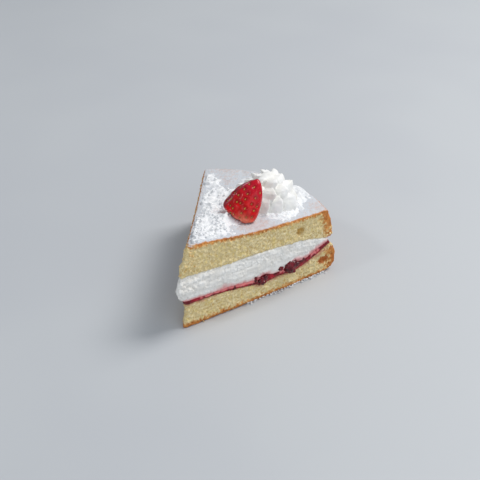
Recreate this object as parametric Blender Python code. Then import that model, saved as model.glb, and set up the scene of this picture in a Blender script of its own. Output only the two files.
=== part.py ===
"""A slice of Victoria sponge cake: two sponge layers with jam and whipped cream between them,
a piped cream rosette on top and a cut strawberry leaning on it.

Metres, +Z up. The slice is one seventh of a round cake: its pointed tip looks along -X and its
baked crust along +X. The origin is the bottom centre of the whole slice's box.
"""

import math

import bmesh
import bpy
import numpy as np
from mathutils import Matrix, Vector

# The whole cake and its slice.
SLICES = 7  # slices cut from one round cake
HALF_ANGLE = math.pi / SLICES  # half of the slice's angle at the cake's axis
TIP_START = 0.0030  # where the slice starts, measured from the cake's axis
TIP_ROUND = 0.0018  # how far the blunt tip is rounded forwards
GAP = 0.0003  # clearance between neighbouring pieces
CELLS_OUT = 24  # grid cells from tip to crust
CELLS_ACROSS = 12  # grid cells from one cut face to the other

# Heights of the surfaces between the layers: (distance from the cake's axis, height).
SPONGE_MEETS_JAM = (
    (0.000, 0.0147),
    (0.016, 0.0143),
    (0.031, 0.0130),
    (0.047, 0.0103),
    (0.062, 0.0099),
    (0.078, 0.0104),
    (0.090, 0.0150),
    (0.097, 0.0186),
)
JAM_MEETS_CREAM = (
    (0.000, 0.0174),
    (0.016, 0.0163),
    (0.031, 0.0154),
    (0.047, 0.0131),
    (0.062, 0.0127),
    (0.078, 0.0139),
    (0.090, 0.0184),
    (0.097, 0.0210),
)
CREAM_MEETS_SPONGE = (
    (0.000, 0.0330),
    (0.016, 0.0312),
    (0.031, 0.0301),
    (0.047, 0.0296),
    (0.062, 0.0284),
    (0.078, 0.0268),
    (0.090, 0.0238),
    (0.097, 0.0220),
)
CAKE_TOP = (
    (0.000, 0.0508),
    (0.012, 0.0500),
    (0.031, 0.0468),
    (0.047, 0.0444),
    (0.062, 0.0432),
    (0.078, 0.0423),
    (0.094, 0.0415),
)

# Outlines where the layers meet: crust's distance from the axis at the near cut face, tip's
# setback, bow of the near cut face, and how far the far cut face leans in.
BASE_OUTLINE = (0.0955, 0.0000, 0.0008, 0.0000)
JAM_FLOOR_OUTLINE = (0.0972, 0.0012, 0.0003, 0.0000)
JAM_ROOF_OUTLINE = (0.0962, 0.0004, 0.0000, 0.0000)
CREAM_ROOF_OUTLINE = (0.0958, -0.0010, 0.0000, 0.0000)
TOP_OUTLINE = (0.0930, 0.0040, 0.0000, 0.0028)
CRUST_BULGE = 0.0032  # how much further out the crust is midway between the cut faces
CRUST_SKEW = 0.0030  # how much further out it is at the far cut face
TOP_CROWN = 0.0016  # how much higher the top is midway between the cut faces, at the crust

# Wall of each layer, from its floor to its roof: (share of the height, how far the wall stands
# out at the crust, at the tip and on the cut faces).
BOTTOM_SPONGE_WALL = (
    (0.00, 0.0000, 0.0000, 0.0000),
    (0.10, 0.0044, -0.0003, 0.0000),
    (0.30, 0.0060, -0.0009, -0.0002),
    (0.55, 0.0057, -0.0016, -0.0003),
    (0.82, 0.0034, -0.0012, -0.0002),
    (1.00, 0.0000, 0.0000, 0.0000),
)
JAM_WALL = (
    (0.00, 0.0000, 0.0000, 0.0000),
    (0.50, -0.0004, 0.0006, 0.0002),
    (1.00, 0.0000, 0.0000, 0.0000),
)
CREAM_WALL = (
    (0.00, 0.0000, 0.0000, 0.0000),
    (0.20, -0.0006, 0.0032, 0.0002),
    (0.50, -0.0010, 0.0044, 0.0004),
    (0.80, -0.0006, 0.0032, 0.0002),
    (1.00, 0.0000, 0.0000, 0.0000),
)
TOP_SPONGE_WALL = (
    (0.00, 0.0000, 0.0000, 0.0000),
    (0.05, 0.0031, 0.0018, 0.0001),
    (0.35, 0.0032, 0.0032, -0.0003),
    (0.70, 0.0026, 0.0018, -0.0003),
    (0.93, 0.0013, 0.0005, 0.0000),
    (1.00, 0.0000, 0.0000, 0.0000),
)
TIP_WALL_REACH = 8  # the higher, the sooner the tip's swelling dies away along the cut faces

# Whole fruit in the jam, which shows at the near cut face: (distance from the axis, share of the
# way across, rise into the cream, dent in the sponge, spread).
JAM_FRUIT = (
    (0.0520, -0.96, 0.0022, 0.0014, 0.0036),
    (0.0710, -0.96, 0.0034, 0.0010, 0.0040),
    (0.0640, 0.30, 0.0024, 0.0010, 0.0045),
    (0.0380, 0.92, 0.0022, 0.0012, 0.0036),
    (0.0800, 0.95, 0.0020, 0.0012, 0.0036),
)

# Uneven baking and spreading, which grows from the near cut face to the far one.
WAVE_HEIGHT = 0.0009
WAVE_OUT = 0.027  # length of a wave from tip to crust
WAVE_ACROSS = 0.062  # length of a wave across
CREAM_WAVE = -0.6  # share of the wave above the cream, where it runs the other way
TOP_WAVE = 0.4  # share of the wave in the cake's top

# Piped rosette.
ROSETTE_AT = (0.0702, -0.0072)  # its centre, from the cake's axis
ROSETTE_RADIUS = 0.0204
ROSETTE_HEIGHT = 0.0175
ROSETTE_RIDGES = 8  # teeth of the star nozzle
POINTS_PER_RIDGE = 8
RIDGE_DEPTH = 0.30  # depth of the grooves as a share of the radius
ROSETTE_TWIST = math.radians(62)  # turn of the ridges from base to peak
# Outline of the swirl: (share of the height, share of the radius).
ROSETTE_OUTLINE = (
    (0.00, 0.82),
    (0.10, 0.96),
    (0.24, 1.00),
    (0.38, 0.92),
    (0.48, 0.74),
    (0.58, 0.72),
    (0.70, 0.66),
    (0.82, 0.46),
    (0.92, 0.24),
    (1.00, 0.07),
)

# Strawberry: half a berry with its leafy end trimmed off, leaning on the rosette.
BERRY_FOOT = (0.0472, -0.0048)  # where its long axis leaves the trimmed end, from the cake's axis
BERRY_LEAN = (0.503, -0.283, 0.817)  # direction of its long axis, from the trimmed end to the point
BERRY_BACK = (0.986, -0.166, 0.0)  # the way its cut side faces
BERRY_LENGTH = 0.0232
BERRY_WIDTH = 0.0206
BERRY_DEPTH = 0.0074  # from the long axis to the front of the skin
BERRY_POINTED = 0.66  # 0.5 is a round end, and 1 is a sharp one
BERRY_CUT_AT = 0.0030  # distance of the cut side behind the long axis
BERRY_SEAT = 0.0004  # clearance of its foot above the cake's top
BERRY_SEGMENTS = 28
BERRY_STEPS = 12
BERRY_STEP_GROWTH = 1.5  # above 1, the steps are closer together towards the point

# Modelling limits.
WELD = 1e-6  # vertices closer than this are one
AT_EDGE = 1 - 1e-6  # a grid share beyond this is on the grid's edge
SHARP_ANGLE = math.radians(40)  # edges sharper than this keep their crease

# Colours, linear, and roughness.
SPONGE_LOOK = ((0.62, 0.47, 0.23), 0.85)
JAM_LOOK = ((0.17, 0.008, 0.017), 0.18)
CREAM_LOOK = ((0.80, 0.78, 0.75), 0.50)
BERRY_LOOK = ((0.50, 0.012, 0.016), 0.25)


def clear_scene():
    for old in list(bpy.data.objects):
        bpy.data.objects.remove(old, do_unlink=True)


def finish_material(name, look):
    """A plain finish of one colour and roughness."""
    colour, roughness = look
    material = bpy.data.materials.new(name)
    material.use_nodes = True
    shader = material.node_tree.nodes["Principled BSDF"]
    shader.inputs["Base Color"].default_value = (*colour, 1.0)
    shader.inputs["Roughness"].default_value = roughness
    shader.inputs["Metallic"].default_value = 0.0
    return material


def solid(name, bm, look):
    """Turn a bmesh into a smooth object with its own material."""
    bmesh.ops.recalc_face_normals(bm, faces=bm.faces)
    if bm.calc_volume(signed=True) < 0:
        bmesh.ops.reverse_faces(bm, faces=bm.faces)
    mesh = bpy.data.meshes.new(name)
    bm.to_mesh(mesh)
    bm.free()
    mesh.shade_smooth()
    mesh.set_sharp_from_angle(angle=SHARP_ANGLE)
    mesh.materials.append(finish_material(name, look))
    made = bpy.data.objects.new(name, mesh)
    bpy.context.scene.collection.objects.link(made)
    return made


def curve(x, points):
    """Value at x on a smooth curve through (x, value) points, level beyond both ends."""
    xs, ys = np.array(points).T
    slopes = np.gradient(ys, xs)
    i = int(np.clip(np.searchsorted(xs, x) - 1, 0, len(xs) - 2))
    step = xs[i + 1] - xs[i]
    s = min(max((x - xs[i]) / step, 0.0), 1.0)
    start = ys[i] * (1 + 2 * s) * (1 - s) ** 2 + ys[i + 1] * s * s * (3 - 2 * s)
    bend = slopes[i] * s * (1 - s) ** 2 - slopes[i + 1] * s * s * (1 - s)
    return float(start + bend * step)


def wave(out, across):
    """A gentle swell, still at the near cut face and strongest at the far one."""
    share = (across + 1) / 2
    swell = math.sin(2 * math.pi * out / WAVE_OUT) * math.cos(2 * math.pi * across * out / WAVE_ACROSS)
    return WAVE_HEIGHT * share * swell


def fruit(out, across, which):
    """Height that the fruit in the jam adds at a place; which is 2 above the jam and 3 below."""
    total = 0.0
    for lump in JAM_FRUIT:
        centre_out, centre_across, spread = lump[0], lump[1], lump[4]
        sideways = out * HALF_ANGLE * (across - centre_across)
        away = math.hypot(out - centre_out, sideways) / spread
        total += lump[which] * math.exp(-(away**2))
    return total


def base_height(out, across):
    """The underside of the slice is flat, so it is the same everywhere."""
    return 0.0


def jam_floor(out, across):
    return curve(out, SPONGE_MEETS_JAM) + wave(out, across) - fruit(out, across, 3)


def jam_roof(out, across):
    return curve(out, JAM_MEETS_CREAM) + wave(out, across) + fruit(out, across, 2)


def cream_roof(out, across):
    return curve(out, CREAM_MEETS_SPONGE) + wave(out, across) * CREAM_WAVE


def cake_top(out, across):
    crown = TOP_CROWN * (1 - across * across) * out / CAKE_TOP[-1][0]
    return curve(out, CAKE_TOP) + crown + wave(out, across) * TOP_WAVE


def top_at(x, y):
    """Height of the cake's top at a place measured from the cake's axis."""
    return cake_top(math.hypot(x, y), math.atan2(y, x) / HALF_ANGLE)


def raise_in_steps(bm, levels):
    """Extrude a flat sheet upwards through the levels, so that it becomes a closed block."""
    floor = list(bm.faces)
    kept = bmesh.ops.duplicate(bm, geom=floor)["geom"]
    bmesh.ops.reverse_faces(bm, faces=[part for part in kept if isinstance(part, bmesh.types.BMFace)])
    top = floor
    for below, above in zip(levels, levels[1:]):
        grown = bmesh.ops.extrude_face_region(bm, geom=top)["geom"]
        bmesh.ops.delete(bm, geom=top, context="FACES_KEEP_BOUNDARY")
        raised = [part for part in grown if isinstance(part, bmesh.types.BMVert)]
        top = [part for part in grown if isinstance(part, bmesh.types.BMFace)]
        bmesh.ops.translate(bm, verts=raised, vec=(0, 0, above - below))
    bmesh.ops.remove_doubles(bm, verts=bm.verts, dist=WELD)


def block(levels):
    """A closed block of cells: x from 0 at the tip to 1 at the crust, y from -1 to 1, z by level."""
    bm = bmesh.new()
    bmesh.ops.create_grid(bm, x_segments=CELLS_OUT, y_segments=CELLS_ACROSS, size=1.0)
    for vertex in bm.verts:
        vertex.co.x = (vertex.co.x + 1) / 2
    raise_in_steps(bm, levels)
    return bm


def layer(name, look, floor, roof, floor_outline, roof_outline, wall, floor_gap):
    """One layer of the slice, between two surfaces and inside its own wall."""
    bm = block([row[0] for row in wall])
    crust = [(row[0], row[1]) for row in wall]
    tip = [(row[0], row[2]) for row in wall]
    face = [(row[0], row[3]) for row in wall]
    for vertex in bm.verts:
        u, v, t = vertex.co
        radius, setback, bow, inset = (a + (b - a) * t for a, b in zip(floor_outline, roof_outline))
        radius += CRUST_BULGE * (1 - v * v) + CRUST_SKEW * (v + 1) / 2
        start = TIP_START + setback
        out = start + (radius - start) * u
        low = floor(out, v) + floor_gap
        high = roof(out, v) - GAP / 2
        height = low + (high - low) * t
        if u > AT_EDGE:
            out += curve(t, crust)
        angle = v * HALF_ANGLE
        forward = TIP_ROUND * (1 - v * v) + curve(t, tip)
        x = out * math.cos(angle) - forward * (1 - u) ** TIP_WALL_REACH
        y = out * math.sin(angle)
        lean_in = inset * (v + 1) / 2
        x += lean_in * math.sin(HALF_ANGLE)
        y -= lean_in * math.cos(HALF_ANGLE)
        if abs(v) > AT_EDGE:
            outward = curve(t, face) + (bow * math.sin(math.pi * u) if v < 0 else 0.0)
            x -= outward * math.sin(HALF_ANGLE)
            y += math.copysign(1, v) * outward * math.cos(HALF_ANGLE)
        vertex.co = (x, y, height)
    return solid(name, bm, look)


def rosette():
    """A swirl from a star nozzle: pointed ridges that twist as the swirl climbs to its peak."""
    count = ROSETTE_RIDGES * POINTS_PER_RIDGE
    bm = bmesh.new()
    bmesh.ops.create_circle(bm, cap_ends=True, segments=count, radius=1.0)
    raise_in_steps(bm, [share for share, _ in ROSETTE_OUTLINE])
    bmesh.ops.poke(bm, faces=[face for face in bm.faces if len(face.verts) > 4])
    for vertex in bm.verts:
        share = vertex.co.z
        reach = math.hypot(vertex.co.x, vertex.co.y) * curve(share, ROSETTE_OUTLINE)
        angle = math.atan2(vertex.co.y, vertex.co.x)
        groove = RIDGE_DEPTH * abs(math.sin(ROSETTE_RIDGES * angle / 2))
        reach *= ROSETTE_RADIUS * (1 - groove)
        turned = angle + ROSETTE_TWIST * share
        x = ROSETTE_AT[0] + reach * math.cos(turned)
        y = ROSETTE_AT[1] + reach * math.sin(turned)
        vertex.co = (x, y, top_at(x, y) + GAP + ROSETTE_HEIGHT * share)
    return solid("cream_rosette", bm, CREAM_LOOK)


def berry_shape(swell):
    """The strawberry's closed shape, grown by swell all round."""
    bm = bmesh.new()
    outline = []
    for step in range(BERRY_STEPS + 1):
        down = (step / BERRY_STEPS) ** BERRY_STEP_GROWTH
        wide = math.sin(math.pi / 2 * down**BERRY_POINTED) if step else 0.0
        reach = wide * (BERRY_WIDTH / 2 + swell)
        along = BERRY_LENGTH * (1 - down) + swell * (1 - 2 * down)
        outline.append(bm.verts.new((reach, 0, along)))
    outline.append(bm.verts.new((0, 0, -swell)))
    chain = [bm.edges.new(pair) for pair in zip(outline, outline[1:])]
    bmesh.ops.spin(
        bm,
        geom=outline + chain,
        cent=(0, 0, 0),
        axis=(0, 0, 1),
        angle=math.tau,
        steps=BERRY_SEGMENTS,
        use_merge=True,
    )
    bmesh.ops.remove_doubles(bm, verts=bm.verts, dist=WELD)
    bmesh.ops.scale(bm, vec=(BERRY_DEPTH / (BERRY_WIDTH / 2), 1, 1), verts=bm.verts)
    slice_off(bm, Vector((BERRY_CUT_AT + swell, 0, 0)), Vector((1, 0, 0)))
    upward = Vector(BERRY_LEAN).normalized()
    across = upward.cross(Vector(BERRY_BACK)).normalized()
    back = across.cross(upward)
    turn = Matrix((back, across, upward)).transposed().to_4x4()
    foot = Vector((*BERRY_FOOT, top_at(*BERRY_FOOT) + BERRY_SEAT))
    bmesh.ops.transform(bm, matrix=Matrix.Translation(foot) @ turn, verts=bm.verts)
    for vertex in bm.verts:
        seat = top_at(vertex.co.x, vertex.co.y) + BERRY_SEAT - swell
        vertex.co.z = max(vertex.co.z, seat)
    return bm


def slice_off(bm, point, facing):
    """Cut away what lies beyond a plane and close the cut."""
    geom = list(bm.verts) + list(bm.edges) + list(bm.faces)
    cut = bmesh.ops.bisect_plane(bm, geom=geom, plane_co=point, plane_no=facing, clear_outer=True)
    rim = [part for part in cut["geom_cut"] if isinstance(part, bmesh.types.BMEdge)]
    filled = bmesh.ops.edgeloop_fill(bm, edges=rim)["faces"]
    bmesh.ops.triangulate(bm, faces=filled)


def press_berry_into(cream):
    """Hollow the rosette where the strawberry leans into it."""
    cutter = solid("berry_space", berry_shape(GAP), BERRY_LOOK)
    cutter.hide_render = True
    cutter.display_type = "WIRE"
    pressed = cream.modifiers.new("berry space", "BOOLEAN")
    pressed.operation = "DIFFERENCE"
    pressed.solver = "EXACT"
    pressed.object = cutter


def stand_on_origin():
    """Move every piece so that the slice's box has its bottom centre at the origin."""
    pieces = [piece for piece in bpy.data.objects if not piece.hide_render]
    corners = np.array([tuple(vertex.co) for piece in pieces for vertex in piece.data.vertices])
    low, high = corners.min(axis=0), corners.max(axis=0)
    shift = Matrix.Translation((-(low[0] + high[0]) / 2, -(low[1] + high[1]) / 2, -low[2]))
    for piece in bpy.data.objects:
        piece.data.transform(shift)


def main():
    clear_scene()
    layer(
        "bottom_sponge",
        SPONGE_LOOK,
        base_height,
        jam_floor,
        BASE_OUTLINE,
        JAM_FLOOR_OUTLINE,
        BOTTOM_SPONGE_WALL,
        0.0,
    )
    layer(
        "jam_layer",
        JAM_LOOK,
        jam_floor,
        jam_roof,
        JAM_FLOOR_OUTLINE,
        JAM_ROOF_OUTLINE,
        JAM_WALL,
        GAP / 2,
    )
    layer(
        "cream_layer",
        CREAM_LOOK,
        jam_roof,
        cream_roof,
        JAM_ROOF_OUTLINE,
        CREAM_ROOF_OUTLINE,
        CREAM_WALL,
        GAP / 2,
    )
    layer(
        "top_sponge",
        SPONGE_LOOK,
        cream_roof,
        cake_top,
        CREAM_ROOF_OUTLINE,
        TOP_OUTLINE,
        TOP_SPONGE_WALL,
        GAP / 2,
    )
    swirl = rosette()
    solid("strawberry", berry_shape(0.0), BERRY_LOOK)
    press_berry_into(swirl)
    stand_on_origin()


main()
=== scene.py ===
# %% [markdown]
# # A slice of Victoria sponge, finished
#
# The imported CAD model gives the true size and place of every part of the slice: two sponge
# layers, the jam, the whipped cream, a piped rosette and half a strawberry. This lesson builds
# the surfaces that make it look like cake around those plain solids. Nothing of the CAD is
# moved; each solid is hidden and a detailed piece stands for it.

# %% Load the frame
import math

import bpy
import numpy as np
from mathutils import Matrix, Vector, noise
from mathutils.bvhtree import BVHTree
from mathutils.kdtree import KDTree


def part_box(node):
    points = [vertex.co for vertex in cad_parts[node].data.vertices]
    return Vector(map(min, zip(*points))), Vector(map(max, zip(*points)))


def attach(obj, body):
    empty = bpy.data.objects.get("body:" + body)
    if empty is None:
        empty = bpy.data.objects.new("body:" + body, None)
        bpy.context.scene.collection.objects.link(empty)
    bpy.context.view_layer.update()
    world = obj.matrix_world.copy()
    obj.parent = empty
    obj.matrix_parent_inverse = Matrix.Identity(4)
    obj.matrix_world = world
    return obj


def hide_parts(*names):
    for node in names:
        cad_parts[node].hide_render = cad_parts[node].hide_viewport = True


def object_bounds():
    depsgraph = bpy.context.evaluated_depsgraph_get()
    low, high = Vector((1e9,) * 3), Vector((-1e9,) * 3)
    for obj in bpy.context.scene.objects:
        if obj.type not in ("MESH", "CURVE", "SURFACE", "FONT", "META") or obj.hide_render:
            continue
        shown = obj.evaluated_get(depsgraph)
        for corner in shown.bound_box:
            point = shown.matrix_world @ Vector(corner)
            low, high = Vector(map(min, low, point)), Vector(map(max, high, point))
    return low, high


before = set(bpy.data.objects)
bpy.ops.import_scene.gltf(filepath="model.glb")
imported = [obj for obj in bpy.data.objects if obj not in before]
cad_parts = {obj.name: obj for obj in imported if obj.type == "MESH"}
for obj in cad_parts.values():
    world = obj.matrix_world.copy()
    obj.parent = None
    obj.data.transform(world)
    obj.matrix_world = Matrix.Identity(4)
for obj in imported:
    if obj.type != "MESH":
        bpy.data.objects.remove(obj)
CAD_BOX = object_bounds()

MM = 0.001
BODY = "root"
dice = np.random.default_rng(11)  # every random choice below comes from this one seed
NEAR_CORNER, FAR_CORNER = CAD_BOX
print("CAD nodes:", sorted(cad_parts))
print("CAD box, mm:", [round(side / MM, 1) for side in FAR_CORNER - NEAR_CORNER])

# %% [markdown]
# ## Where the slice stands
#
# A slice is a wedge of a round cake, so most places on it are easiest to say from the cake's
# own axis, which stands just behind the pointed tip. The cream's tip is the part that comes
# closest to that axis, so the axis is worked out from the cream's box.

# %% Axis and angle of the wedge
SLICES = 7  # slices in the whole cake
HALF_ANGLE = math.pi / SLICES
CREAM_TIP_OUT = 3.5 * MM  # how far the cream's tip is in front of the cake's axis
JAM_LOW, JAM_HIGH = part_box("jam_layer")
AXIS = Vector((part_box("cream_layer")[0].x + CREAM_TIP_OUT, (JAM_LOW.y + JAM_HIGH.y) / 2, 0))
print("cake axis, mm:", [round(v / MM, 1) for v in AXIS])

# %% [markdown]
# ## Camera
#
# The camera looks down at the near cut face from the tip's side. Its place is a point to aim
# at, a distance, and three angles, so any of them can be changed without working out the rest.

# %% Aim the camera
AIM = Vector((-0.0026, -0.0069, 0.030))
DISTANCE = 0.537
AZIMUTH = math.radians(-61.27)
ELEVATION = math.radians(33.8)
ROLL = math.radians(1.2)
LENS_MM = 75

towards_camera = Vector((math.sin(AZIMUTH) * math.cos(ELEVATION),
                         -math.cos(AZIMUTH) * math.cos(ELEVATION), math.sin(ELEVATION)))
camera = bpy.data.objects.new("camera", bpy.data.cameras.new("camera"))
camera.data.lens = LENS_MM
camera.data.clip_start = 0.01
camera.data.clip_end = 20
camera.rotation_mode = "QUATERNION"
level_view = (-towards_camera).to_track_quat("-Z", "Y").to_matrix()
camera.rotation_quaternion = (level_view @ Matrix.Rotation(ROLL, 3, "Z")).to_quaternion()
camera.location = AIM + towards_camera * DISTANCE
bpy.context.scene.collection.objects.link(camera)
bpy.context.scene.camera = camera
bpy.context.scene.view_settings.view_transform = "Standard"
print("camera at", [round(v, 3) for v in camera.location])

# %% [markdown]
# ## Light
#
# Sugar and cream are white on white, so their shape is told only by soft shadows. One large
# lamp high on the right gives the direction, a weaker one on the left opens the shadows, and a
# pale sky fills in the rest.

# %% Lamps and sky
KEY_FROM = Vector((0.62, -0.42, 1.0))
FILL_FROM = Vector((-0.55, -0.85, 0.45))
LAMP_DISTANCE = 1.2
KEY_WATTS = 10.5
FILL_WATTS = 4.2
SPARKLE_FROM = Vector((-0.7, 0.45, 0.8))  # a small lamp whose reflections make wet things glint
SPARKLE_WATTS = 1.5
SKY = (0.86, 0.93, 1.0)
SKY_STRENGTH = 0.40


def soft_lamp(name, direction, watts, size, colour):
    """A square lamp that looks at the slice from one direction."""
    lamp = bpy.data.lights.new(name, "AREA")
    lamp.energy = watts
    lamp.size = size
    lamp.color = colour
    made = bpy.data.objects.new(name, lamp)
    made.location = AIM + direction.normalized() * LAMP_DISTANCE
    made.rotation_euler = direction.to_track_quat("Z", "Y").to_euler()
    bpy.context.scene.collection.objects.link(made)


soft_lamp("key", KEY_FROM, KEY_WATTS, 0.55, (1.0, 0.98, 0.95))
soft_lamp("fill", FILL_FROM, FILL_WATTS, 1.2, (0.93, 0.97, 1.0))
soft_lamp("sparkle", SPARKLE_FROM, SPARKLE_WATTS, 0.12, (1.0, 1.0, 1.0))
world = bpy.data.worlds.new("sky")
world.use_nodes = True
world.node_tree.nodes["Background"].inputs["Color"].default_value = (*SKY, 1)
world.node_tree.nodes["Background"].inputs["Strength"].default_value = SKY_STRENGTH
bpy.context.scene.world = world

# %% [markdown]
# ## Tools for shaping
#
# Every piece below starts as a primitive or as a copy of its CAD solid, and is then shaped with
# the same few moves: merge, remesh into small even faces, swell or dent the surface with a
# noise pattern, smooth. These short functions hold those moves.

# %% Take, apply and edit


def take(*pieces):
    """Select these pieces and nothing else; the first is the active one."""
    for other in bpy.context.selected_objects:
        other.select_set(False)
    for piece in pieces:
        piece.select_set(True)
    bpy.context.view_layer.objects.active = pieces[0]


def apply(piece, kind, **settings):
    """Add one modifier, set it up and apply it."""
    modifier = piece.modifiers.new(kind.lower(), kind)
    for key, value in settings.items():
        setattr(modifier, key, value)
    take(piece)
    bpy.ops.object.modifier_apply(modifier=modifier.name)


def edit(piece, pick=None):
    """Enter edit mode with the faces chosen whose centre and normal pass a test, or with all."""
    take(piece)
    bpy.ops.object.mode_set(mode="EDIT")
    bpy.ops.mesh.select_mode(type="FACE")
    bpy.ops.mesh.select_all(action="DESELECT" if pick else "SELECT")
    if pick:
        bpy.ops.object.mode_set(mode="OBJECT")
        for face in piece.data.polygons:
            face.select = bool(pick(face.center, face.normal))
        bpy.ops.object.mode_set(mode="EDIT")


def done_editing():
    bpy.ops.object.mode_set(mode="OBJECT")


def shade_smooth(piece):
    take(piece)
    bpy.ops.object.shade_smooth()


# %% [markdown]
# ### Copies
#
# What repeats is made once and copied, each copy with its own mesh, and the copies are joined
# into one piece. A CAD solid's faces are loose, so a copy of one is merged before use.

# %% Copy and join


def show(thing):
    """Put a new object in the scene."""
    bpy.context.scene.collection.objects.link(thing)


def copy_of(piece):
    """Another piece with its own copy of the mesh."""
    made = piece.copy()
    made.data = piece.data.copy()
    show(made)
    return made


def joined(pieces, name):
    """Make one piece of many, with its place, turn and size in its mesh."""
    take(*pieces)
    bpy.ops.object.join()
    made = bpy.context.object
    made.name = name
    bpy.ops.object.transform_apply(location=True, rotation=True, scale=True)
    return made


MERGE_WITHIN = 0.001 * MM


def copy_of_node(node, name):
    """A new piece with a merged copy of a CAD node's mesh."""
    piece = bpy.data.objects.new(name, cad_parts[node].data.copy())
    piece.data.name = name
    piece.data.materials.clear()
    show(piece)
    edit(piece)
    bpy.ops.mesh.remove_doubles(threshold=MERGE_WITHIN)
    bpy.ops.mesh.customdata_custom_splitnormals_clear()
    bpy.ops.mesh.tris_convert_to_quads()
    done_editing()
    return piece


# %% [markdown]
# ### Vertices as tables
#
# Some shaping is easier as sums over all vertices at once. These read a mesh's vertices and
# normals as rows of numbers, and put moved vertices back.

# %% Read and move vertices


def points_of(piece):
    """The places of a piece's vertices as rows of x, y, z."""
    found = np.empty(len(piece.data.vertices) * 3, np.float32)
    piece.data.vertices.foreach_get("co", found)
    return found.reshape(-1, 3).astype(float)


def move_points(piece, points):
    piece.data.vertices.foreach_set("co", points.astype(np.float32).ravel())
    piece.data.update()


def normals_of(piece):
    found = np.empty(len(piece.data.vertices) * 3, np.float32)
    piece.data.vertex_normals.foreach_get("vector", found)
    return found.reshape(-1, 3).astype(float)


# %% [markdown]
# ### Notes on the surface
#
# Food changes over its surface: skin here, crumb there, a stain where jam soaked in. Each vertex
# can keep a number under a name, which a material reads back, and a vertex group says how
# strongly a modifier acts there. Most of these numbers start as a distance to some face of a
# plain CAD solid.

# %% Notes on the surface
WEIGHT_LEVELS = 24


def note(piece, name, values):
    """Keep a number for each vertex, which materials can read by name."""
    values = np.asarray(values, np.float32)
    kept = piece.data.attributes.get(name) or piece.data.attributes.new(name, "FLOAT", "POINT")
    kept.data.foreach_set("value", values)


def weigh(piece, name, values):
    """A vertex group that says how strongly a modifier acts at each vertex, from 0 to 1."""
    group = piece.vertex_groups.new(name=name)
    levels = np.round(np.clip(values, 0, 1) * WEIGHT_LEVELS).astype(int)
    for level in range(1, WEIGHT_LEVELS + 1):
        members = np.flatnonzero(levels == level)
        if len(members):
            group.add(members.tolist(), level / WEIGHT_LEVELS, "REPLACE")


def ease(values, start, end):
    """0 before start, 1 after end, and a smooth step between."""
    share = np.clip((np.asarray(values, float) - start) / (end - start), 0, 1)
    return share * share * (3 - 2 * share)


FARTHEST = 20 * MM


def distance_to(points, tree):
    """How far each point is from the surface in a search tree, up to the farthest that matters."""
    found = (tree.find_nearest(Vector(p), FARTHEST)[3] for p in points)
    return np.array([FARTHEST if d is None else d for d in found])


def tree_of(piece, pick=lambda centre, normal: True):
    """A search tree of the faces that pass a test, or of all."""
    mesh = piece.data
    faces = [f.vertices[:] for f in mesh.polygons if pick(f.center, f.normal)]
    return BVHTree.FromPolygons([v.co.copy() for v in mesh.vertices], faces)


# %% [markdown]
# ### Swelling
#
# A Displace modifier with a noise texture swells and dents a surface. Sizes and depths are given
# in metres, so a pattern can be chosen like a real crumb or clump. An empty that is stretched
# and removed again makes a pattern longer one way, as a knife drags cream.

# %% Swell a surface with a noise pattern


def swell(piece, pattern, size, depth, middle=0.5, group="", stretch=None, **settings):
    """Push a surface out and in by a noise pattern, which a stretch matrix can make longer one way."""
    texture = bpy.data.textures.new(f"{piece.name} {pattern}", pattern)
    texture.noise_scale = size
    for key, value in settings.items():
        setattr(texture, key, value)
    space = {"texture_coords": "LOCAL"}
    guide = None
    if stretch:
        guide = bpy.data.objects.new("guide", None)
        guide.matrix_world = stretch
        show(guide)
        bpy.context.view_layer.update()
        space = {"texture_coords": "OBJECT", "texture_coords_object": guide}
    apply(piece, "DISPLACE", texture=texture, strength=depth, mid_level=middle, vertex_group=group,
          **space)
    if guide:
        bpy.data.objects.remove(guide)
    bpy.data.textures.remove(texture)


# %% [markdown]
# ### Hollows
#
# Folds of cream are given a painted shade, warmer and darker than the cream round them. A copy of
# the piece is smoothed, and how far a vertex lies under that copy says how deep in a fold it is.

# %% Note the hollows


def note_hollows(piece, name, rounds, deepest):
    """Note how far each vertex lies below the smoothed surface, from 0 to 1 at the deepest."""
    smoothed = copy_of(piece)
    apply(smoothed, "SMOOTH", factor=0.5, iterations=rounds)
    below = ((points_of(smoothed) - points_of(piece)) * normals_of(piece)).sum(1)
    bpy.data.objects.remove(smoothed)
    note(piece, name, np.clip(below / deepest, 0, 1))


# %% [markdown]
# ### Putting a piece in place
#
# Each finished piece rides on the slice and may stand for a CAD solid, which is then hidden. Its
# triangles are counted in print, so the cost of each choice above can be seen.

# %% Say what became of a piece


def report(piece):
    """Print a piece's number of triangles."""
    triangles = sum(len(face.vertices) - 2 for face in piece.data.polygons)
    print(f"{piece.name}: {triangles} triangles")


def belongs(piece, slot, *nodes):
    """The finished piece rides on the slice and stands for its CAD nodes, which are hidden. slot: not
    used.
    """
    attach(piece, BODY)
    if nodes:
        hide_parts(*nodes)
    report(piece)


# %% [markdown]
# ## Tools for finishes
#
# A material is a small network of nodes. `put` adds one node and fills its inputs either with
# plain values or with other nodes' outputs, which keeps each recipe below short enough to read.

# %% Node helpers


def put(tree, kind, inputs=None, **settings):
    """Add a shader node; inputs may be values or other nodes' outputs."""
    node = tree.nodes.new("ShaderNode" + kind)
    for key, value in settings.items():
        setattr(node, key, value)
    for key, value in (inputs or {}).items():
        if isinstance(value, bpy.types.NodeSocket):
            tree.links.new(value, node.inputs[key])
        else:
            node.inputs[key].default_value = value
    return node


def srgb(red, green, blue):
    """A colour given on the usual 0 to 255 scale, as the linear light that a shader needs."""
    parts = [v / 255 for v in (red, green, blue)]
    light = [v / 12.92 if v <= 0.04045 else ((v + 0.055) / 1.055) ** 2.4 for v in parts]
    return (*light, 1.0)


def blend(tree, share, first, second):
    """Mix two colours by a share from 0 to 1."""
    return put(tree, "Mix", {0: share, 6: first, 7: second}, data_type="RGBA").outputs[2]


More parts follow.
